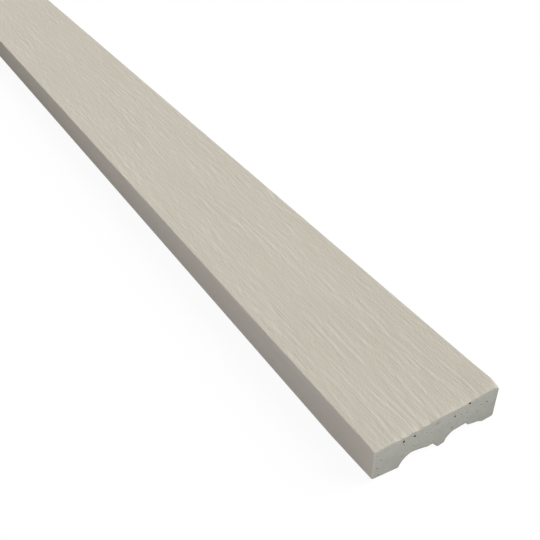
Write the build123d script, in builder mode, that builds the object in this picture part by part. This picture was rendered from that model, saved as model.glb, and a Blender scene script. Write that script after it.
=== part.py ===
from build123d import *
import os

# Fibre cement trim board, lying on its back with the grained face up.
# X runs along the length, Y across the width from the left edge to the right, Z up from the back.
# Sizes are in millimetres, and a share is a part of a groove's span, counted from its left foot.

# Stock size: 1 in by 3 1/2 in section, 12 ft long
board_length = 3657.6
board_width = 88.9
board_thickness = 25.4

# Rounding of the long edges
face_arris_radius = 0.8
back_arris_radius = 2.2

# Flat strips of the back that bear on the wall
left_land = 18.5
rib_land = 4.8
right_land = 8.1

# The two relief grooves take the width that these strips leave, the left one a little less of it
left_groove_share = 0.492

# Left groove: an arc up to the crown, a slope down to a knee, a step to a ledge and a fall to the rib
left_crown_share = 0.336
left_crown_rise = 8.15
left_knee_share = 0.636
left_knee_rise = 6.05
left_ledge_start_share = 0.693
left_ledge_end_share = 0.841
left_ledge_rise = 5.22

# Right groove: an arc up to the crown, a ceiling that climbs to a heel, a step down to a shoulder
# and a slope that steepens at a toe
right_crown_share = 0.253
right_crown_rise = 7.0
right_heel_share = 0.51
right_heel_rise = 7.4
right_shoulder_share = 0.589
right_shoulder_rise = 4.75
right_toe_share = 0.856
right_toe_rise = 2.6

# Places of the grooves across the board
groove_width = board_width - left_land - rib_land - right_land
left_span = left_groove_share * groove_width
right_span = groove_width - left_span
left_foot = left_land - board_width / 2
right_foot = left_foot + left_span + rib_land

# Ceilings of the grooves, from the crown to the right
left_ceiling = [
    (left_foot + left_crown_share * left_span, left_crown_rise),
    (left_foot + left_knee_share * left_span, left_knee_rise),
    (left_foot + left_ledge_start_share * left_span, left_ledge_rise),
    (left_foot + left_ledge_end_share * left_span, left_ledge_rise),
]
right_ceiling = [
    (right_foot + right_crown_share * right_span, right_crown_rise),
    (right_foot + right_heel_share * right_span, right_heel_rise),
    (right_foot + right_shoulder_share * right_span, right_shoulder_rise),
    (right_foot + right_toe_share * right_span, right_toe_rise),
]
relief_grooves = [(left_foot, left_span, left_ceiling), (right_foot, right_span, right_ceiling)]

# The board: one section with rounded edges and a grooved back, carried along the whole length
with BuildPart() as trim_board:
    with BuildSketch(Plane.YZ) as section:
        Rectangle(board_width, board_thickness, align=(Align.CENTER, Align.MIN))
        fillet(section.vertices().group_by(Axis.Y)[-1], face_arris_radius)
        fillet(section.vertices().group_by(Axis.Y)[0], back_arris_radius)
        for foot, span, ceiling in relief_grooves:
            with BuildLine():
                TangentArc(ceiling[0], (foot, 0), tangent=(-1, 0))
                Polyline(*ceiling, (foot + span, 0), (foot, 0))
            make_face(mode=Mode.SUBTRACT)
    extrude(amount=board_length / 2, both=True)

trim_board.part.label = "trim_board"
os.makedirs("parts", exist_ok=True)
export_step(trim_board.part, "parts/trim_board.step")
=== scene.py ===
import math

import bpy
import numpy as np
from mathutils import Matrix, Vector
from mathutils.geometry import delaunay_2d_cdt


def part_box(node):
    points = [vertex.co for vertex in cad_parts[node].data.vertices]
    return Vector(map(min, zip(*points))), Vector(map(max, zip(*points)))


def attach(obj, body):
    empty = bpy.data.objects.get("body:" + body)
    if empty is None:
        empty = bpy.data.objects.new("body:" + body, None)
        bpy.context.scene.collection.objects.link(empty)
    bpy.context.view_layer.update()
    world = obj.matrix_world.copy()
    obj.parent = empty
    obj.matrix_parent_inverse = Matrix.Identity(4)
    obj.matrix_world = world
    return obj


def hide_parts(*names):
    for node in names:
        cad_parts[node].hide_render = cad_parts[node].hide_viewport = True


# Fibre cement trim board lying on its back on a white floor, with the wood grain of its face
# and the pits and wear of its sawn end. Everything is in metres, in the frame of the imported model:
# X runs along the board to the near end, Y across it to the right edge, Z up to the grained face.

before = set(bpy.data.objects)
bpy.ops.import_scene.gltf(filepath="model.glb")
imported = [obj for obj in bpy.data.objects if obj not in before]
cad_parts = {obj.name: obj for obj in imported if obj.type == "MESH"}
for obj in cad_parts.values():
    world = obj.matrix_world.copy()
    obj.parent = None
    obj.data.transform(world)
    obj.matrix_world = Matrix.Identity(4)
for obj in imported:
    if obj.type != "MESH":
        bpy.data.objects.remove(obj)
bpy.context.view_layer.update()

MM = 0.001
NODE = "trim_board"
BODY = "root"
PIECE = "grained_trim_board"

low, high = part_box(NODE)
LENGTH, WIDTH, THICKNESS = high - low
NEAR_END = high.x
LEFT_EDGE = low.y
RIGHT_EDGE = high.y

# Section of the board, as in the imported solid
FACE_ARRIS = 0.8 * MM
BACK_ARRIS = 2.2 * MM
LEFT_LAND = 18.5 * MM
RIB_LAND = 4.8 * MM
RIGHT_LAND = 8.1 * MM
LEFT_GROOVE_SHARE = 0.492

# Ceilings of the two grooves from the crown to the right: share of the span, and rise
LEFT_CEILING = [(0.336, 8.15 * MM), (0.636, 6.05 * MM), (0.693, 5.22 * MM), (0.841, 5.22 * MM)]
RIGHT_CEILING = [(0.253, 7.0 * MM), (0.51, 7.4 * MM), (0.589, 4.75 * MM), (0.856, 2.6 * MM)]

# Mesh: fine rows on the face, closer together towards the near end, and coarse rows elsewhere
FACE_COLUMNS = 158
FACE_ARRIS_STEPS = 3
BACK_ARRIS_STEPS = 5
GROOVE_ARC_STEPS = 8
LONGEST_BACK_EDGE = 5.0 * MM
NEAR_ROW_STEP = 2.2 * MM
FAR_ROW_STEP = 16.0 * MM
ROWS_PER_BACK_ROW = 6
SHARP_ANGLE = math.radians(32)

# Embossed grain: each line is a ridge with a groove on its right and a steep wall between them,
# on a slow swell. Widths are of the ridge and the groove, a dash is how far the depth of a line holds
# along it, and lines are fewer and shallower in dull patches and shallower by the near end.
SHORT_LINES = {"count": 11000, "length": 13 * MM, "spread": 0.45, "depth": 0.058 * MM}
LONG_LINES = {"count": 700, "length": 54 * MM, "spread": 0.30, "depth": 0.075 * MM}
LINE_LENGTH_LIMITS = (7 * MM, 110 * MM)
LINE_DEPTH_SPREAD = 0.3
LINE_SLANT = 0.025
LINE_WAVER = 0.35 * MM
LINE_WAVE = (11 * MM, 30 * MM)
PATCH = (48 * MM, 13 * MM)
PATCH_CUT = (-1.1, 0.5)
PATCH_DEPTH_SHARE = 0.4
FAR_DEPTH_SHARE = 1.25
NEAR_DEPTH_LOSS = 0.47
NEAR_DEPTH_LENGTH = 120 * MM
DEEPEST_LINE = 0.50 * MM
LINE_WALL = 0.6 * MM
LINE_WIDTHS = (1.4 * MM, 1.25 * MM)
FACE_LEVEL = 0.3 * MM
DASH = 6 * MM
DASH_SHARES = (0.3, 1.1)
TAPER_POWER = 1.5
SWELL_DEPTH = 0.12 * MM
SWELL_CELL = (190 * MM, 17 * MM)
FIBRE_DEPTH = 0.03 * MM
FIBRE_CELL = (16 * MM, 1.8 * MM)

# Slow wander of the grain across the board: seed, reach and size of its cells
GRAIN_MARGIN = 20 * MM
GRAIN_WANDER = [
    (21, 1.8 * MM, (170 * MM, 30 * MM)),
    (22, 1.5 * MM, (38 * MM, 11 * MM)),
    (25, 0.9 * MM, (13 * MM, 6 * MM)),
]

# Calm strip along the right edge by the near end: setback of its middle, half its length, and its width
CALM_SETBACK = 22 * MM
CALM_LENGTH = 60 * MM
CALM_WIDTH = 24 * MM

# Finer lines of the grain, in the paint's relief: a saw tooth across the board that wavers along it
# and comes in broken stretches
FINE_PITCH = 3.4 * MM
FINE_DEPTH = 0.13 * MM
FINE_STEEP_SHARE = 0.34
FINE_BREAK_CELL = (10 * MM, 3 * MM, 3 * MM)
FINE_BREAK_RANGE = (0.38, 0.62)

# Layers of noise: size of the cells along X, Y and Z in millimetres, detail, and weight or depth
FINE_WANDER = [((110, 9, 9), 1, 12 * MM), ((26, 8, 8), 1, 6 * MM), ((9, 4.5, 4.5), 1, 2.6 * MM)]
PAINT_STIPPLE = [((1.8, 1.4, 1.4), 1, 0.21 * MM)]
PAINT_CLOUDS = [((90, 30, 30), 3, 0.35), ((24, 1.8, 1.8), 2, 0.30), ((1.1, 1.1, 1.1), 2, 0.28)]
PAINT_GLOSS = [((8, 3, 3), 2, 0.2)]
EDGE_CLOUDS = [((120, 14, 14), 3, 0.35), ((20, 2, 2), 2, 0.25), ((0.9, 0.9, 0.9), 2, 0.20)]
EDGE_GLOSS = [((6, 3, 3), 2, 0.15)]
EDGE_RELIEF = [((14, 2.5, 2.5), 2, 0.10 * MM), ((1.4, 1.1, 1.1), 2, 0.08 * MM)]
CEMENT_CLOUDS = [((14, 9, 6), 3, 0.6), ((1.1, 1.1, 1.1), 3, 0.8), ((0.35, 0.35, 0.35), 1, 0.5)]
CEMENT_GLOSS = [((2, 2, 2), 2, 0.15)]
CEMENT_RELIEF = [((1.2, 1.2, 1.2), 3, 0.09 * MM), ((0.4, 0.4, 0.4), 2, 0.06 * MM)]

# Grain lines that stand out near the near end: setback of both ends, place across and depth, in millimetres
STRONG_LINES = [
    (-10, 42, 16.3, 0.15),
    (-10, 48, 26.9, 0.13),
    (4, 46, 30.8, 0.09),
    (-6, 30, 35.3, 0.11),
    (18, 52, 38.3, 0.09),
    (-8, 18, 3.6, 0.10),
    (-6, 22, 7.6, 0.11),
    (-6, 20, 11.7, 0.11),
    (22, 68, 18.3, 0.10),
    (20, 48, 22.6, 0.10),
    (-6, 12, 21.8, 0.10),
    (6, 42, 43.8, 0.08),
    (-8, 24, 47.5, 0.07),
    (14, 36, 51.0, 0.07),
    (28, 58, 56.2, 0.08),
    (44, 74, 71.0, 0.09),
    (58, 92, 47.0, 0.10),
    (75, 100, 35.5, 0.10),
    (55, 105, 29.7, 0.10),
    (70, 135, 8.3, 0.10),
    (68, 118, 12.0, 0.09),
    (-10, 57, 63.4, 0.11),
    (-12, 40, 72.6, 0.14),
    (26, 72, 69.6, 0.09),
    (125, 182, 66.7, 0.12),
    (138, 170, 15.0, 0.12),
    (310, 350, 40.8, 0.15),
    (376, 424, 31.0, 0.13),
    (398, 440, 26.7, 0.13),
    (360, 405, 67.5, 0.13),
]

# Wear of the feet at the near end: length along the board, and places across with their rises,
# in millimetres
FOOT_WEAR = [
    (62, (0, 1.3, 24.6), (3.75, 3.15, 0)),
    (40, (47.4, 51.6), (0, 0.75)),
    (40, (79.5, 88.9), (0.5, 0.6)),
]

# The face stands a little higher here by the near end: place across, half width, length along and rise,
# in millimetres
FACE_RISES = [(86, 19, 30, 0.8)]

# Wear at the near end: the face's right corner is knocked down, and darkened to the colour of the raw board
CORNER_WEAR_LENGTH = 7 * MM
CORNER_WEAR_WIDTH = 3.4 * MM
CORNER_WEAR_HEIGHT = 8 * MM
CORNER_WEAR_DROP = 2.3 * MM
CORNER_DARKENED_REACH = 0.9

# The near end leans back a little towards the face, and its left corner flares out
END_LEAN = 0.28 * MM
END_LEAN_LENGTH = 2.5 * MM
FLARE = 0.45 * MM
FLARE_LENGTH = 9 * MM
FLARE_WIDTH = 4 * MM
FLARE_HEIGHT = 12 * MM

# Sawn ends: a broken edge round the outline, a rough cut, and pits where air was trapped
END_BREAK_SETBACK = 0.45 * MM
END_BREAK_DROP = 0.10 * MM
END_BREAK_RANGE = (0.3, 2.4)
END_BREAK_CELL = 3.5 * MM

# Broken edge of the face at the near end: place across, and how far it lies below the full thickness,
# in millimetres
NEAR_EDGE = [
    (0, 0.0), (7, 0.0), (9.5, 0.5), (13, 0.1), (17, 1.2), (18.5, 0.6), (22, 1.5), (26, 0.8),
    (30, 1.4), (33, 0.4), (37, 1.1), (39.5, 0.5), (45, 0.2), (48, 0.6), (52, 0.7), (57, 1.2),
    (61, 0.8), (64.5, 1.3), (66.5, 0.7), (68, 1.1), (70.5, 0.3), (73, 0.7), (76, 0.1), (88.9, 0.0),
]
NEAR_EDGE_LENGTH = 3 * MM

# Surface of the sawn ends: a jittered grid and small pits at random places
END_GRID = 1.5 * MM
END_GRID_JITTER = 0.3
END_ROUGHNESS = 0.10 * MM
PIT_POINTS = 10
PIT_UNEVEN = (0.8, 1.15)
SMALL_PITS = 30
SMALL_PIT_SIZES = (0.18 * MM, 0.42 * MM)
SMALL_PIT_DEPTH_SHARE = 1.6
SMALL_PIT_MARGIN = 1.5 * MM

# Rings of a pit from its rim to its floor: share of the rim's size, share of the depth, and share of the
# painted shade
PIT_RINGS = [(1.0, 0.0, 0.0), (0.93, 0.12, 1.0), (0.78, 0.8, 1.0), (0.35, 1.0, 1.0)]

# A pit this deep gets the full painted shade
DARK_PIT_DEPTH = 0.9 * MM

# Pits of the near end: place across and up, half width, half height and depth, all in millimetres
NEAR_PITS = [
    (19.9, 21.1, 0.76, 1.10, 2.6),
    (27.4, 21.0, 0.96, 0.92, 2.6),
    (56.4, 19.0, 0.76, 0.66, 2.2),
    (66.5, 23.4, 1.08, 0.82, 2.4),
    (81.0, 16.4, 0.60, 0.50, 0.9),
    (43.1, 21.1, 1.60, 0.16, 0.2),
]

# Colours, linear
PAINT_DARK = (0.505, 0.468, 0.396, 1)
PAINT_LIGHT = (0.625, 0.586, 0.506, 1)
# painted shade in the pits
PIT_SHADE = (0.012, 0.012, 0.011, 1)
CEMENT_DARK = (0.352, 0.351, 0.313, 1)
CEMENT_LIGHT = (0.482, 0.481, 0.432, 1)
WHITE = (1, 1, 1, 1)

# Painted shade: the paint is a little darker towards the near end
NEAR_SHADE_LENGTH = 300 * MM

# Edges: paler at the rim of the face, wear with a painted highlight, and a painted highlight along the rims of
# the ends;
# painted shade along the ends and the right arris, and a painted dark line of shade along the lower rims of the
# ends
EDGE_WEAR_AND_HIGHLIGHT_REACH = 3 * MM
EDGE_WEAR_AND_HIGHLIGHT_HEIGHT = 2 * MM
END_SHADE_REACH = 3 * MM
ARRIS_SHADE_REACH = 1.3 * MM
EDGE_SHADE_SHARE = 0.2
RIM_SHADE = 2.5

# Light that the floor sends back
FLOOR_BOUNCE = (0.45, 0.45, 0.45, 1)

# Camera: lens and sensor in millimetres, place past the near end, across and up
CAMERA_LENS = 50.902
CAMERA_SENSOR = 36
CAMERA_CLIP = 0.01
CAMERA_PAST_END = 183.786 * MM
CAMERA_ACROSS = -222.786 * MM
CAMERA_UP = 341.124 * MM
CAMERA_AZIMUTH = math.radians(58.015)
CAMERA_ELEVATION = math.radians(38.1)

# Light: shares of the light that makes a colour render as it is written
SKY_SHARE = 0.28
KEY_SHARE = 0.643
KEY_FROM = Vector((0.38, 0.75, 0.8)).normalized()
KEY_ANGLE = math.radians(50)
FILL_SHARE = 0.18
FILL_FROM = Vector((0.15, -0.07, 0.05)).normalized()
FILL_ANGLE = math.radians(90)
UNDER_SHARE = 0.7
UNDER_FROM = Vector((0, 0, -1))
UNDER_ANGLE = math.radians(10)

# Low, slightly cool lamp to the left of the near end, whose light fades along the side
WINDOW_SHARE = 0.165
WINDOW_COLOUR = (1.0, 0.94, 1.15)
WINDOW_SIZE = (0.4, 0.08)
WINDOW_SETBACK = 0.1
WINDOW_REACH = 0.55
WINDOW_HEIGHT = 0.045
FLOOR_SIZE = 60
FLOOR_GLOW = 0.93


def arc(centre, radius, start, end, steps):
    """Points of a circular arc in the section, from one angle to another in degrees, both included."""
    angles = np.radians(np.linspace(start, end, steps + 1))
    return [(centre[0] + radius * math.cos(a), centre[1] + radius * math.sin(a)) for a in angles]


def refined(points, longest):
    """The same open outline with points added so that no edge is longer than asked."""
    outline = [points[0]]
    for a, b in zip(points, points[1:]):
        steps = max(1, math.ceil(math.dist(a, b) / longest))
        outline += [tuple(np.array(a) + (np.array(b) - np.array(a)) * s / steps) for s in range(1, steps + 1)]
    return outline


def groove(foot, span, ceiling):
    """A relief groove from its left foot: an arc up to the crown, then straight runs to the right foot."""
    run, rise = ceiling[0][0] * span, ceiling[0][1]
    radius = (run ** 2 + rise ** 2) / (2 * rise)
    centre = (foot + run, rise - radius)
    spring = math.degrees(math.atan2(radius - rise, -run))
    runs = [(foot + share * span, height) for share, height in ceiling[1:]]
    return [*arc(centre, radius, spring, 90, GROOVE_ARC_STEPS), *runs, (foot + span, 0)]


def face_profile():
    """Outline of the face from the right edge to the left, both arrises included."""
    top = THICKNESS - FACE_ARRIS
    right = arc((RIGHT_EDGE - FACE_ARRIS, top), FACE_ARRIS, 0, 90, FACE_ARRIS_STEPS)
    left = arc((LEFT_EDGE + FACE_ARRIS, top), FACE_ARRIS, 90, 180, FACE_ARRIS_STEPS)
    flat = np.linspace(RIGHT_EDGE - FACE_ARRIS, LEFT_EDGE + FACE_ARRIS, FACE_COLUMNS + 1)[1:-1]
    return np.array([*right, *[(y, THICKNESS) for y in flat], *left])


def back_profile():
    """Outline of the sides and the back, from below the left arris of the face to below the right one."""
    groove_width = WIDTH - LEFT_LAND - RIB_LAND - RIGHT_LAND
    left_span = LEFT_GROOVE_SHARE * groove_width
    left_foot = LEFT_EDGE + LEFT_LAND
    right_foot = left_foot + left_span + RIB_LAND
    outline = [
        (LEFT_EDGE, THICKNESS - FACE_ARRIS),
        *arc((LEFT_EDGE + BACK_ARRIS, BACK_ARRIS), BACK_ARRIS, 180, 270, BACK_ARRIS_STEPS),
        *groove(left_foot, left_span, LEFT_CEILING),
        *groove(right_foot, groove_width - left_span, RIGHT_CEILING),
        *arc((RIGHT_EDGE - BACK_ARRIS, BACK_ARRIS), BACK_ARRIS, 270, 360, BACK_ARRIS_STEPS),
        (RIGHT_EDGE, THICKNESS - FACE_ARRIS),
    ]
    return np.array(refined(outline, LONGEST_BACK_EDGE)[1:-1])


def row_places():
    """Places of the fine rows along X, from the far end to the near one, with a row at each broken edge."""
    growth = FAR_ROW_STEP / NEAR_ROW_STEP
    count = math.ceil(LENGTH * math.log(growth) / (FAR_ROW_STEP - NEAR_ROW_STEP))
    shares = (growth ** np.linspace(1, 0, count + 1) - 1) / (growth - 1)
    places = NEAR_END - LENGTH * shares
    far_break = places[0] + END_BREAK_SETBACK
    near_break = NEAR_END - END_BREAK_SETBACK
    return np.sort(np.append(places, [far_break, near_break]))


def smooth_noise(seed, along, across, cell):
    """Values from -1 to 1 that change smoothly over cells of the given length and width."""
    a, c = np.broadcast_arrays(along / cell[0], across / cell[1])
    knots = np.random.default_rng(seed).uniform(-1, 1, (int(a.max()) + 2, int(c.max()) + 2))
    row, column = np.floor(a).astype(int), np.floor(c).astype(int)
    s, t = a - row, c - column
    s, t = s * s * (3 - 2 * s), t * t * (3 - 2 * t)
    near = knots[row, column] * (1 - t) + knots[row, column + 1] * t
    far = knots[row + 1, column] * (1 - t) + knots[row + 1, column + 1] * t
    return near * (1 - s) + far * s


def grain_lines():
    """Every grain line as setback of its two ends, place across and depth, in metres."""
    rng = np.random.default_rng(11)
    lines = [tuple(value * MM for value in line) for line in STRONG_LINES]
    for kind in (SHORT_LINES, LONG_LINES):
        count = kind["count"]
        middle = rng.uniform(0, LENGTH, count)
        place = rng.uniform(-GRAIN_MARGIN, WIDTH + GRAIN_MARGIN, count)
        half = kind["length"] / 2 * np.exp(rng.normal(0, kind["spread"], count))
        half = np.clip(half, LINE_LENGTH_LIMITS[0] / 2, LINE_LENGTH_LIMITS[1] / 2)
        depth = kind["depth"] * np.exp(rng.normal(0, LINE_DEPTH_SPREAD, count))
        lively = smooth_noise(26, middle, place + GRAIN_MARGIN, PATCH)
        kept = lively > rng.uniform(*PATCH_CUT, count)
        depth *= 1 + PATCH_DEPTH_SHARE * lively
        depth *= FAR_DEPTH_SHARE - NEAR_DEPTH_LOSS * smooth_fade(middle, NEAR_DEPTH_LENGTH)
        lines += list(zip((middle - half)[kept], (middle + half)[kept], place[kept], depth[kept]))
    return lines


def grain_depth(places, across):
    """Depth of the embossing below the full thickness, on the rows and columns of the face's grid,
    and how far each point lies on the steep wall of a line, from 0 to 1."""
    rng = np.random.default_rng(12)
    setback = (NEAR_END - places)[:, None]
    across = across[None, :] + GRAIN_MARGIN
    wander = sum(reach * smooth_noise(seed, setback, across, cell) for seed, reach, cell in GRAIN_WANDER)
    grain = across + wander
    swell = SWELL_DEPTH * smooth_noise(23, setback, across, SWELL_CELL)
    fibre = FIBRE_DEPTH * smooth_noise(24, setback, grain, FIBRE_CELL)
    depth = np.zeros_like(grain)
    wall = np.zeros_like(grain)
    for start, end, place, deep in grain_lines():
        slant = rng.normal(0, LINE_SLANT)
        waver = rng.uniform(0, LINE_WAVER)
        phase = rng.uniform(0, 2 * math.pi)
        wave = rng.uniform(*LINE_WAVE)
        rows = np.flatnonzero((setback[:, 0] > start) & (setback[:, 0] < end))
        if rows.size:
            part = slice(rows[0], rows[-1] + 1)
            along = setback[part] - (start + end) / 2
            half = (end - start) / 2
            taper = (1 - (along / half) ** 2) ** TAPER_POWER
            dashes = rng.uniform(*DASH_SHARES, 2 + int((end - start) / DASH))
            taper *= np.interp(along, DASH * np.arange(len(dashes)) - half, dashes)
            path = place + slant * along + waver * np.sin(2 * math.pi * along / wave + phase)
            beside = grain[part] - GRAIN_MARGIN - path
            width = np.where(beside < 0, *LINE_WIDTHS)
            depth[part] += deep * taper * beside / LINE_WALL * np.exp(-(beside / width) ** 2)
            wall[part] += deep * taper * np.exp(-(beside / LINE_WALL) ** 2)
    depth = swell + fibre + DEEPEST_LINE * np.tanh(depth / DEEPEST_LINE)
    from_right = WIDTH + GRAIN_MARGIN - across
    calm = fade(np.abs(setback - CALM_SETBACK), CALM_LENGTH) * fade(from_right, CALM_WIDTH)
    depth = FACE_LEVEL + (depth - depth.mean()) * (1 - calm)
    for place, half, length, rise in FACE_RISES:
        beside = np.abs(across - GRAIN_MARGIN - place * MM)
        depth -= rise * MM * smooth_fade(beside, half * MM) * smooth_fade(setback, length * MM)
    return depth, np.tanh(wall / LONG_LINES["depth"])


def fade(distance, reach):
    """1 at no distance, falling to 0 at the reach."""
    return np.clip(1 - distance / reach, 0, 1)


def smooth_fade(distance, reach):
    """The same with a gentle start and end."""
    share = fade(distance, reach)
    return share * share * (3 - 2 * share)


def corner_wear(points):
    """How far the face's right corner at the near end is knocked off at each point, from 0 to 1."""
    along = (NEAR_END - points[:, 0]) / CORNER_WEAR_LENGTH
    across = (RIGHT_EDGE - points[:, 1]) / CORNER_WEAR_WIDTH
    return fade(along + across, 1) * fade(THICKNESS - points[:, 2], CORNER_WEAR_HEIGHT)


def worn(points):
    """The points with the wear of the near end: the feet cut to a slant and the face's right corner lowered."""
    setback = NEAR_END - points[:, 0]
    from_left, from_top = points[:, 1] - LEFT_EDGE, THICKNESS - points[:, 2]
    moved = points.copy()
    moved[:, 2] -= CORNER_WEAR_DROP * corner_wear(points)
    flare = fade(setback, FLARE_LENGTH) * fade(from_left, FLARE_WIDTH) * fade(from_top, FLARE_HEIGHT)
    moved[:, 1] -= FLARE * flare
    for length, across, rises in FOOT_WEAR:
        slant = np.interp(from_left / MM, across, rises, 0, 0)
        moved[:, 2] = np.maximum(moved[:, 2], slant * MM * fade(setback, length * MM))
    return moved


def outward(outline):
    """Outward directions at the points of a closed outline that runs anticlockwise."""
    tangent = np.roll(outline, -1, axis=0) - np.roll(outline, 1, axis=0)
    normal = np.column_stack([tangent[:, 1], -tangent[:, 0]])
    return normal / np.linalg.norm(normal, axis=1, keepdims=True)


def break_depth(outline, seed):
    """How far the broken edge of a sawn end lies inside each point of the outline, uneven along it."""
    steps = np.linalg.norm(np.diff(outline, axis=0), axis=1)
    along = np.append(0, np.cumsum(steps))
    uneven = smooth_noise(seed, along, np.zeros_like(along), (END_BREAK_CELL, 1))
    share = np.interp(uneven, (-1, 0.2, 1), (END_BREAK_RANGE[0], 1, END_BREAK_RANGE[1]))
    return END_BREAK_DROP * share[:, None] * outward(outline)


def clearance(points, outline):
    """Distance of points to a closed outline, positive inside it."""
    a, b = outline, np.roll(outline, -1, axis=0)
    edge = b - a
    to = points[:, None] - a
    share = np.clip((to * edge).sum(2) / (edge ** 2).sum(1), 0, 1)
    distance = np.linalg.norm(to - share[..., None] * edge, axis=2).min(axis=1)
    spans = (a[:, 1] > points[:, 1:]) != (b[:, 1] > points[:, 1:])
    rise = np.where(edge[:, 1] == 0, 1, edge[:, 1])
    crossing = a[:, 0] + edge[:, 0] * (points[:, 1:] - a[:, 1]) / rise
    inside = (spans & (points[:, :1] < crossing)).sum(axis=1) % 2 == 1
    return np.where(inside, distance, -distance)


def small_pits(rng, outline):
    """Small pits at random places well inside the outline of an end."""
    spots = rng.uniform((LEFT_EDGE, 0), (RIGHT_EDGE, THICKNESS), (20 * SMALL_PITS, 2))
    spots = spots[clearance(spots, outline) > SMALL_PIT_MARGIN][:SMALL_PITS]
    sizes = rng.uniform(*SMALL_PIT_SIZES, (SMALL_PITS, 2))
    return [(*spot, *size, SMALL_PIT_DEPTH_SHARE * size.min()) for spot, size in zip(spots, sizes)]


def end_points(rng, outline, pits):
    """Points inside the outline of a sawn end, how far each lies below the cut, and how much painted shade it
    gets: a rough grid and the pits."""
    across = np.arange(LEFT_EDGE, RIGHT_EDGE, END_GRID)
    up = np.arange(0, THICKNESS, END_GRID)
    grid = np.stack(np.meshgrid(across, up), axis=-1).reshape(-1, 2)
    grid = grid + rng.uniform(-END_GRID_JITTER, END_GRID_JITTER, grid.shape) * END_GRID
    grid = grid[clearance(grid, outline) > 0.5 * END_GRID]
    ring = 2 * math.pi * np.arange(PIT_POINTS) / PIT_POINTS
    points, depths, shades = [], [], []
    for y, z, half_width, half_height, depth in pits:
        centre, half = np.array((y, z)), np.array((half_width, half_height))
        grid = grid[np.linalg.norm((grid - centre) / (half + 0.4 * END_GRID), axis=1) > 1]
        rim = np.column_stack([np.cos(ring), np.sin(ring)]) * half * rng.uniform(*PIT_UNEVEN, (PIT_POINTS, 1))
        for size, sunk, shade in PIT_RINGS:
            points += list(centre + size * rim)
            depths += [sunk * depth] * PIT_POINTS
            # painted shade in the pit, full for deep pits
            shades += [shade * min(1, depth / DARK_PIT_DEPTH)] * PIT_POINTS
    rough = END_ROUGHNESS * rng.uniform(0, 1, len(grid))
    return np.vstack([grid, *points]), np.append(rough, depths), np.append(np.zeros(len(grid)), shades)


class BoardMesh:
    """Vertices, faces and the material of each face, gathered piece by piece."""

    def __init__(self):
        self.points, self.faces, self.materials = [], [], []
        self.pits, self.rims = [], []

    def add_points(self, points):
        first = len(self.points)
        self.points += [tuple(p) for p in points]
        return np.arange(first, len(self.points))

    def add_faces(self, faces, material):
        self.faces += [[int(v) for v in face] for face in faces]
        self.materials += [material] * len(faces)


PAINT, CEMENT, EDGE_PAINT = 0, 1, 2


def strip_quads(rows):
    """Quads between neighbouring rows and columns of a grid of vertex numbers."""
    corners = rows[:-1, :-1], rows[:-1, 1:], rows[1:, 1:], rows[1:, :-1]
    return np.stack(corners, axis=-1).reshape(-1, 4)


def add_end(mesh, ring, place, facing, pits, seed):
    """Closes an end of the board with a sawn face that has pits."""
    rng = np.random.default_rng(seed)
    outline = np.array([mesh.points[v][1:] for v in ring])
    inner, depth, shade = end_points(rng, outline, pits + small_pits(rng, outline))
    inner_numbers = mesh.add_points(np.column_stack([place - facing * depth, inner]))
    mesh.pits += list(zip(inner_numbers, shade))
    mesh.rims += list(ring)
    flat = [Vector(p) for p in np.vstack([outline, inner])]
    edges = [(i, (i + 1) % len(ring)) for i in range(len(ring))]
    found = delaunay_2d_cdt(flat, edges, [], 1, 1e-7)
    numbers = np.append(ring, inner_numbers)
    triangles = [[numbers[found[3][v][0]] for v in triangle] for triangle in found[2]]
    mesh.add_faces([t if facing > 0 else t[::-1] for t in triangles], CEMENT)


def build_board():
    """The whole board as one closed mesh."""
    face, back = face_profile(), back_profile()
    places = row_places()
    last = len(places) - 1
    coarse = np.unique([0, *range(1, last, ROWS_PER_BACK_ROW), last - 1, last])
    depth, wall = grain_depth(places, face[:, 0] - LEFT_EDGE)
    depth = depth * (face[:, 1] - THICKNESS + FACE_ARRIS) / FACE_ARRIS

    fine_grid = np.empty((len(places), len(face), 3))
    fine_grid[..., 0] = places[:, None]
    fine_grid[..., 1] = face[:, 0]
    fine_grid[..., 2] = face[:, 1] - depth
    back_grid = np.empty((len(coarse), len(back), 3))
    back_grid[..., 0] = places[coarse][:, None]
    back_grid[..., 1:] = back
    for end, seed in ((0, 41), (-1, 42)):
        broken = break_depth(np.vstack([face, back]), seed)
        fine_grid[end, :, 1:] -= broken[:len(face)]
        back_grid[end, :, 1:] -= broken[len(face):]
    edge = THICKNESS - MM * np.interp((face[:, 0] - LEFT_EDGE) / MM, *zip(*NEAR_EDGE))
    chipped = np.maximum(fine_grid[-1, :, 2] - edge, 0)
    fine_grid[..., 2] -= chipped * smooth_fade(NEAR_END - places, NEAR_EDGE_LENGTH)[:, None]

    mesh = BoardMesh()
    fine = mesh.add_points(worn(fine_grid.reshape(-1, 3))).reshape(fine_grid.shape[:2])
    rest = mesh.add_points(worn(back_grid.reshape(-1, 3))).reshape(back_grid.shape[:2])
    mesh.add_faces(strip_quads(fine), PAINT)
    on_side = np.isclose(np.abs(back[:, 0]), WIDTH / 2)
    for column in range(len(back) - 1):
        side = on_side[column] and on_side[column + 1]
        mesh.add_faces(strip_quads(rest[:, column:column + 2]), EDGE_PAINT if side else CEMENT)
    for row, (start, end) in enumerate(zip(coarse, coarse[1:])):
        left = [rest[row, 0], rest[row + 1, 0], *fine[start:end + 1, -1][::-1]]
        right = [rest[row + 1, -1], rest[row, -1], *fine[start:end + 1, 0]]
        mesh.add_faces([left, right], EDGE_PAINT)
    near_pits = [
        (LEFT_EDGE + y * MM, z * MM, half_width * MM, half_height * MM, deep * MM)
        for y, z, half_width, half_height, deep in NEAR_PITS
    ]
    add_end(mesh, np.append(fine[-1], rest[-1]), NEAR_END, 1, near_pits, 31)
    add_end(mesh, np.append(fine[0], rest[0]), places[0], -1, [], 32)
    return mesh, fine, wall


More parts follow.
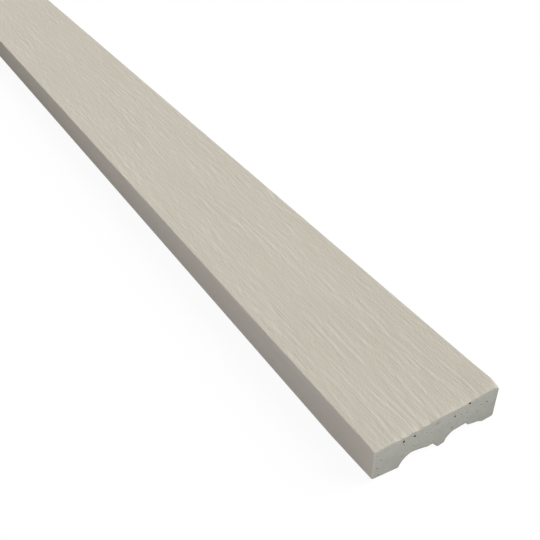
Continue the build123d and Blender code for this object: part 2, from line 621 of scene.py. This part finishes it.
def make_board(materials):
    """The board as an object, with the walls of the grain, the pits, the edges, the knocked corner and the near
    end marked for its materials and their painted highlights and shade.
    """
    mesh, fine, wall = build_board()
    points = np.array(mesh.points)
    points[:, 0] -= END_LEAN * points[:, 2] / THICKNESS * fade(NEAR_END - points[:, 0], END_LEAN_LENGTH)
    data = bpy.data.meshes.new(PIECE)
    data.from_pydata(points.tolist(), [], mesh.faces)
    data.polygons.foreach_set("material_index", mesh.materials)
    data.polygons.foreach_set("use_smooth", [True] * len(mesh.faces))
    data.set_sharp_from_angle(angle=SHARP_ANGLE)
    grain, pit = np.zeros(len(points)), np.zeros(len(points))
    # Painted highlight: the steep walls of the grain lines are marked to be painted paler
    grain[fine.ravel()] = wall.ravel()
    for number, shade in mesh.pits:
        pit[number] = shade
    to_edge = np.minimum(points[:, 1] - LEFT_EDGE, RIGHT_EDGE - points[:, 1])
    to_end = LENGTH / 2 - np.abs(points[:, 0])
    # Paler near the edges and ends of the face: wear with a painted highlight
    on_top = points[:, 2] > THICKNESS - EDGE_WEAR_AND_HIGHLIGHT_HEIGHT
    edge = fade(np.minimum(to_edge, to_end), EDGE_WEAR_AND_HIGHLIGHT_REACH) * on_top
    rims = np.array(mesh.rims)
    # Painted highlight along the rims of the ends
    edge[rims] = 1
    # Painted shade: a dark line along the lower rims of the ends, away from the left side
    off_left = points[rims, 1] > LEFT_EDGE + BACK_ARRIS
    under = off_left & (points[rims, 2] < THICKNESS - 2 * FACE_ARRIS)
    edge[rims[under]] = -RIM_SHADE
    # Painted shade within a short reach of the ends and along the right arris
    edge_shade = np.maximum(fade(to_end, END_SHADE_REACH), fade(RIGHT_EDGE - points[:, 1], ARRIS_SHADE_REACH))
    marks = {
        "grain_wall_highlight": grain,
        "pit": pit,
        "edge_wear_and_painted_light": edge,
        # the knocked corner darkened to the raw board's colour, with the painted shade of the ends and the
        # right arris
        "dark_corner_and_painted_shade": np.maximum(smooth_fade(1 - corner_wear(points), CORNER_DARKENED_REACH), EDGE_SHADE_SHARE * edge_shade),
        # painted shade towards the near end
        "near_end_shade": smooth_fade(NEAR_END - points[:, 0], NEAR_SHADE_LENGTH),
    }
    for name, values in marks.items():
        data.attributes.new(name, "FLOAT", "POINT").data.foreach_set("value", values.astype(np.float32))
    for material in materials:
        data.materials.append(material)
    data.validate()
    board = bpy.data.objects.new(PIECE, data)
    bpy.context.scene.collection.objects.link(board)
    return board


class Nodes:
    """Short calls for building a node tree."""

    def __init__(self, tree):
        self.tree = tree
        tree.nodes.clear()

    def add(self, kind, links=None, settings=None, **values):
        node = self.tree.nodes.new(kind)
        for name, value in (settings or {}).items():
            setattr(node, name, value)
        for name, value in values.items():
            node.inputs[name.replace("_", " ")].default_value = value
        for name, socket in (links or {}).items():
            self.tree.links.new(socket, node.inputs[name])
        return node

    def math(self, operation, a, b):
        node = self.tree.nodes.new("ShaderNodeMath")
        node.operation = operation
        for slot, value in enumerate((a, b)):
            if isinstance(value, (int, float)):
                node.inputs[slot].default_value = value
            else:
                self.tree.links.new(value, node.inputs[slot])
        return node.outputs[0]

    def noise(self, stretch, detail, roughness=0.5):
        """Noise from 0 to 1 whose cells are the given lengths along X, Y and Z, in metres."""
        place = self.add("ShaderNodeTexCoord").outputs["Object"]
        mapping = self.add("ShaderNodeMapping", {"Vector": place}, Scale=tuple(1 / s for s in stretch))
        links = {"Vector": mapping.outputs["Vector"]}
        texture = self.add("ShaderNodeTexNoise", links, Scale=1.0, Detail=detail, Roughness=roughness)
        return texture.outputs["Fac"]

    def layers(self, layers):
        """Layers of noise as parts of a blend."""
        return [(self.noise([s * MM for s in cell], detail), 0.5, weight) for cell, detail, weight in layers]

    def place(self, axis):
        """Place of a point along one axis, in metres."""
        place = self.add("ShaderNodeTexCoord").outputs["Object"]
        return self.add("ShaderNodeSeparateXYZ", {"Vector": place}).outputs[axis]

    def attribute(self, name):
        return self.add("ShaderNodeAttribute", settings={"attribute_name": name}).outputs["Fac"]

    def blend(self, parts, middle=0.5):
        """Sum of the parts, each a socket, its middle value and its weight, about the middle."""
        total = middle
        for socket, centre, weight in parts:
            share = self.math("MULTIPLY", self.math("SUBTRACT", socket, centre), weight)
            total = self.math("ADD", share, total)
        return total

    def ramp(self, factor, dark, light):
        node = self.add("ShaderNodeValToRGB", {"Fac": factor})
        node.color_ramp.elements[0].color = dark
        node.color_ramp.elements[1].color = light
        return node.outputs["Color"]

    def tint(self, colour, other, share):
        """The colour with a share of another one mixed in."""
        links = {"Fac": share, "Color1": colour}
        return self.add("ShaderNodeMixRGB", links, Color2=other).outputs["Color"]


def surface_material(name, colour_of, roughness_of, height_of, specular):
    """A matte material whose colour, roughness and height in metres come from functions of its nodes."""
    material = bpy.data.materials.new(name)
    material.use_nodes = True
    nodes = Nodes(material.node_tree)
    bump = nodes.add("ShaderNodeBump", {"Height": height_of(nodes)}, Strength=1.0, Distance=1.0)
    links = {
        "Base Color": colour_of(nodes),
        "Roughness": roughness_of(nodes),
        "Normal": bump.outputs["Normal"],
    }
    shader = nodes.add("ShaderNodeBsdfPrincipled", links, Specular_IOR_Level=specular)
    nodes.add("ShaderNodeOutputMaterial", {"Surface": shader.outputs["BSDF"]})
    return material


def fine_grain(nodes):
    """Fine lines of the embossing from 0 to 1, gentle on the left and steep on the right,
    in broken stretches."""
    line = nodes.blend([(nodes.place("Y"), 0.0, 1.0), *nodes.layers(FINE_WANDER)], 0.0)
    tooth = nodes.math("FRACT", nodes.math("DIVIDE", line, FINE_PITCH), 0.0)
    gentle = nodes.math("DIVIDE", tooth, 1 - FINE_STEEP_SHARE)
    steep = nodes.math("DIVIDE", nodes.math("SUBTRACT", 1.0, tooth), FINE_STEEP_SHARE)
    broken = nodes.noise(FINE_BREAK_CELL, 2)
    strength = nodes.add("ShaderNodeMapRange", {"Value": broken}, {"interpolation_type": "SMOOTHSTEP"})
    strength.inputs["From Min"].default_value = FINE_BREAK_RANGE[0]
    strength.inputs["From Max"].default_value = FINE_BREAK_RANGE[1]
    return nodes.math("MULTIPLY", nodes.math("MINIMUM", gentle, steep), strength.outputs["Result"])


def paint_material():
    """Greige factory paint on the face: faint clouds and streaks, a painted highlight on the walls of the
    grain, paler on the edges with wear and a painted highlight, darkened to the raw board's colour at the
    knocked corner, and painted shade along the ends, the right arris and towards the near end."""
    def colour(nodes):
        tone = nodes.blend([
            *nodes.layers(PAINT_CLOUDS),
            # painted highlight on the steep walls of the grain
            (nodes.attribute("grain_wall_highlight"), 0.20, 0.25),
            # wear and painted highlight at the edges, painted shade at the lower rims of the ends
            (nodes.attribute("edge_wear_and_painted_light"), 0.0, 0.10),
            # painted shade towards the near end
            (nodes.attribute("near_end_shade"), 0.2, -0.12),
        ])
        plain = nodes.ramp(tone, PAINT_DARK, PAINT_LIGHT)
        # darkened to the raw board's colour at the knocked corner, and painted shade along the ends and the
        # right arris
        return nodes.tint(plain, CEMENT_DARK, nodes.attribute("dark_corner_and_painted_shade"))

    def roughness(nodes):
        return nodes.blend(nodes.layers(PAINT_GLOSS), 0.78)

    def height(nodes):
        return nodes.blend([(fine_grain(nodes), 0.0, FINE_DEPTH), *nodes.layers(PAINT_STIPPLE)], 0.0)

    return surface_material("greige_paint", colour, roughness, height, 0.15)


def edge_material():
    """Thinner, duller paint on the long sides: smooth, with faint runs along the board, paler by the face with
    wear and a painted highlight, and with a painted highlight and painted shade along the rims of the ends.
    """
    def colour(nodes):
        tone = nodes.blend([
            *nodes.layers(EDGE_CLOUDS),
            # wear and painted highlight at the edges, painted highlight and painted shade along the rims of the
            # ends
            (nodes.attribute("edge_wear_and_painted_light"), 0.0, 0.25),
        ])
        return nodes.ramp(tone, PAINT_DARK, PAINT_LIGHT)

    def roughness(nodes):
        return nodes.blend(nodes.layers(EDGE_GLOSS), 0.88)

    def height(nodes):
        return nodes.blend(nodes.layers(EDGE_RELIEF), 0.0)

    return surface_material("edge_paint", colour, roughness, height, 0.05)


def cement_material():
    """Raw fibre cement of the ends and the back: mottled, speckled and gritty, with painted light that makes it
    lighter towards the face and darker towards the back, a painted highlight and painted shade along the rims
    of the ends, and painted shade in the pits.
    """
    def colour(nodes):
        tone = nodes.blend([
            *nodes.layers(CEMENT_CLOUDS),
            # painted highlight along the rims of the ends, painted shade along their lower rims
            (nodes.attribute("edge_wear_and_painted_light"), 0.0, 0.20),
            # painted light: lighter towards the face, darker towards the back
            (nodes.place("Z"), 13 * MM, 30.0),
        ])
        plain = nodes.ramp(tone, CEMENT_DARK, CEMENT_LIGHT)
        # painted shade in the pits
        return nodes.tint(plain, PIT_SHADE, nodes.attribute("pit"))

    def roughness(nodes):
        return nodes.blend(nodes.layers(CEMENT_GLOSS), 0.9)

    def height(nodes):
        return nodes.blend(nodes.layers(CEMENT_RELIEF), 0.0)

    return surface_material("raw_fibre_cement", colour, roughness, height, 0.1)


def seen_directly(nodes):
    """1 for what the camera sees itself, in a mirror or through glass, and 0 for light that bounces."""
    path = nodes.add("ShaderNodeLightPath")
    seen = nodes.math("MAXIMUM", path.outputs["Is Camera Ray"], path.outputs["Is Glossy Ray"])
    return nodes.math("MAXIMUM", seen, path.outputs["Is Transmission Ray"])


def mixed(nodes, factor, first, second):
    """The second shader by the factor's share, the first for the rest."""
    mix = nodes.tree.nodes.new("ShaderNodeMixShader")
    if isinstance(factor, float):
        mix.inputs[0].default_value = factor
    else:
        nodes.tree.links.new(factor, mix.inputs[0])
    nodes.tree.links.new(first, mix.inputs[1])
    nodes.tree.links.new(second, mix.inputs[2])
    return mix.outputs[0]


def make_floor():
    """White floor that shows a light shadow, bounces plain light and lets the back be seen and lit
    from below."""
    half = FLOOR_SIZE / 2
    corners = [(-half, -half, low.z), (half, -half, low.z), (half, half, low.z), (-half, half, low.z)]
    data = bpy.data.meshes.new("floor")
    data.from_pydata(corners, [], [(0, 1, 2, 3)])
    floor = bpy.data.objects.new("floor", data)
    bpy.context.scene.collection.objects.link(floor)
    material = bpy.data.materials.new("white_floor")
    material.use_nodes = True
    nodes = Nodes(material.node_tree)
    bounce = nodes.add("ShaderNodeBsdfDiffuse", Color=FLOOR_BOUNCE).outputs[0]
    shaded = nodes.add("ShaderNodeBsdfDiffuse", Color=WHITE).outputs[0]
    glow = nodes.add("ShaderNodeEmission", Color=WHITE, Strength=1.0).outputs[0]
    clear = nodes.add("ShaderNodeBsdfTransparent").outputs[0]
    below = nodes.add("ShaderNodeNewGeometry").outputs["Backfacing"]
    to_lamp = nodes.add("ShaderNodeLightPath").outputs["Is Shadow Ray"]
    seen = mixed(nodes, FLOOR_GLOW, shaded, glow)
    top = mixed(nodes, seen_directly(nodes), bounce, seen)
    surface = mixed(nodes, nodes.math("MAXIMUM", below, to_lamp), top, clear)
    nodes.add("ShaderNodeOutputMaterial", {"Surface": surface})
    data.materials.append(material)


def make_world():
    """White background, with a plain sky above the floor for the light."""
    world = bpy.data.worlds.new("studio")
    world.use_nodes = True
    nodes = Nodes(world.node_tree)
    direction = nodes.add("ShaderNodeTexCoord").outputs["Generated"]
    height = nodes.add("ShaderNodeSeparateXYZ", {"Vector": direction}).outputs["Z"]
    strength = nodes.math("MULTIPLY", nodes.math("GREATER_THAN", height, 0.0), SKY_SHARE)
    sky = nodes.add("ShaderNodeBackground", {"Strength": strength}, Color=WHITE).outputs[0]
    backdrop = nodes.add("ShaderNodeBackground", Color=WHITE, Strength=1.0).outputs[0]
    surface = mixed(nodes, seen_directly(nodes), sky, backdrop)
    nodes.add("ShaderNodeOutputWorld", {"Surface": surface})
    bpy.context.scene.world = world


def add_sun(name, source, share, angle):
    """A soft lamp from one direction, by its share of the light on a surface that faces it."""
    data = bpy.data.lights.new(name, "SUN")
    data.energy = share * math.pi
    data.angle = angle
    lamp = bpy.data.objects.new(name, data)
    lamp.location = source * LENGTH
    lamp.rotation_euler = source.to_track_quat("Z", "Y").to_euler()
    bpy.context.scene.collection.objects.link(lamp)


def add_window():
    """A low lamp that faces the left side near its near end, by its share of the light there."""
    data = bpy.data.lights.new("window", "AREA")
    data.shape = "RECTANGLE"
    data.size, data.size_y = WINDOW_SIZE
    data.energy = WINDOW_SHARE * (math.pi * WINDOW_REACH) ** 2
    data.color = WINDOW_COLOUR
    lamp = bpy.data.objects.new("window", data)
    lamp.location = (NEAR_END - WINDOW_SETBACK, LEFT_EDGE - WINDOW_REACH, WINDOW_HEIGHT)
    lamp.rotation_euler = Vector((0, -1, 0)).to_track_quat("Z", "Y").to_euler()
    lamp.visible_camera = False
    bpy.context.scene.collection.objects.link(lamp)


def make_lights():
    """Soft key from behind the right edge and above, weak fills for the end and the left side,
    and light from below."""
    add_sun("key", KEY_FROM, KEY_SHARE / KEY_FROM.z, KEY_ANGLE)
    add_sun("fill", FILL_FROM, FILL_SHARE / FILL_FROM.x, FILL_ANGLE)
    add_sun("under", UNDER_FROM, UNDER_SHARE, UNDER_ANGLE)
    add_window()


def make_camera():
    """Camera at the viewing angle of the photograph."""
    data = bpy.data.cameras.new("camera")
    data.lens = CAMERA_LENS
    data.sensor_width = CAMERA_SENSOR
    data.clip_start = CAMERA_CLIP
    camera = bpy.data.objects.new("camera", data)
    level = math.cos(CAMERA_ELEVATION)
    back = Vector((
        math.sin(CAMERA_AZIMUTH) * level,
        -math.cos(CAMERA_AZIMUTH) * level,
        math.sin(CAMERA_ELEVATION),
    ))
    camera.location = (NEAR_END + CAMERA_PAST_END, CAMERA_ACROSS, CAMERA_UP)
    camera.rotation_euler = (-back).to_track_quat("-Z", "Y").to_euler()
    bpy.context.scene.collection.objects.link(camera)
    bpy.context.scene.camera = camera


board = make_board([paint_material(), cement_material(), edge_material()])
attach(board, BODY)
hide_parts(NODE)
make_floor()
make_world()
make_lights()
make_camera()
bpy.context.scene.view_settings.view_transform = "Standard"
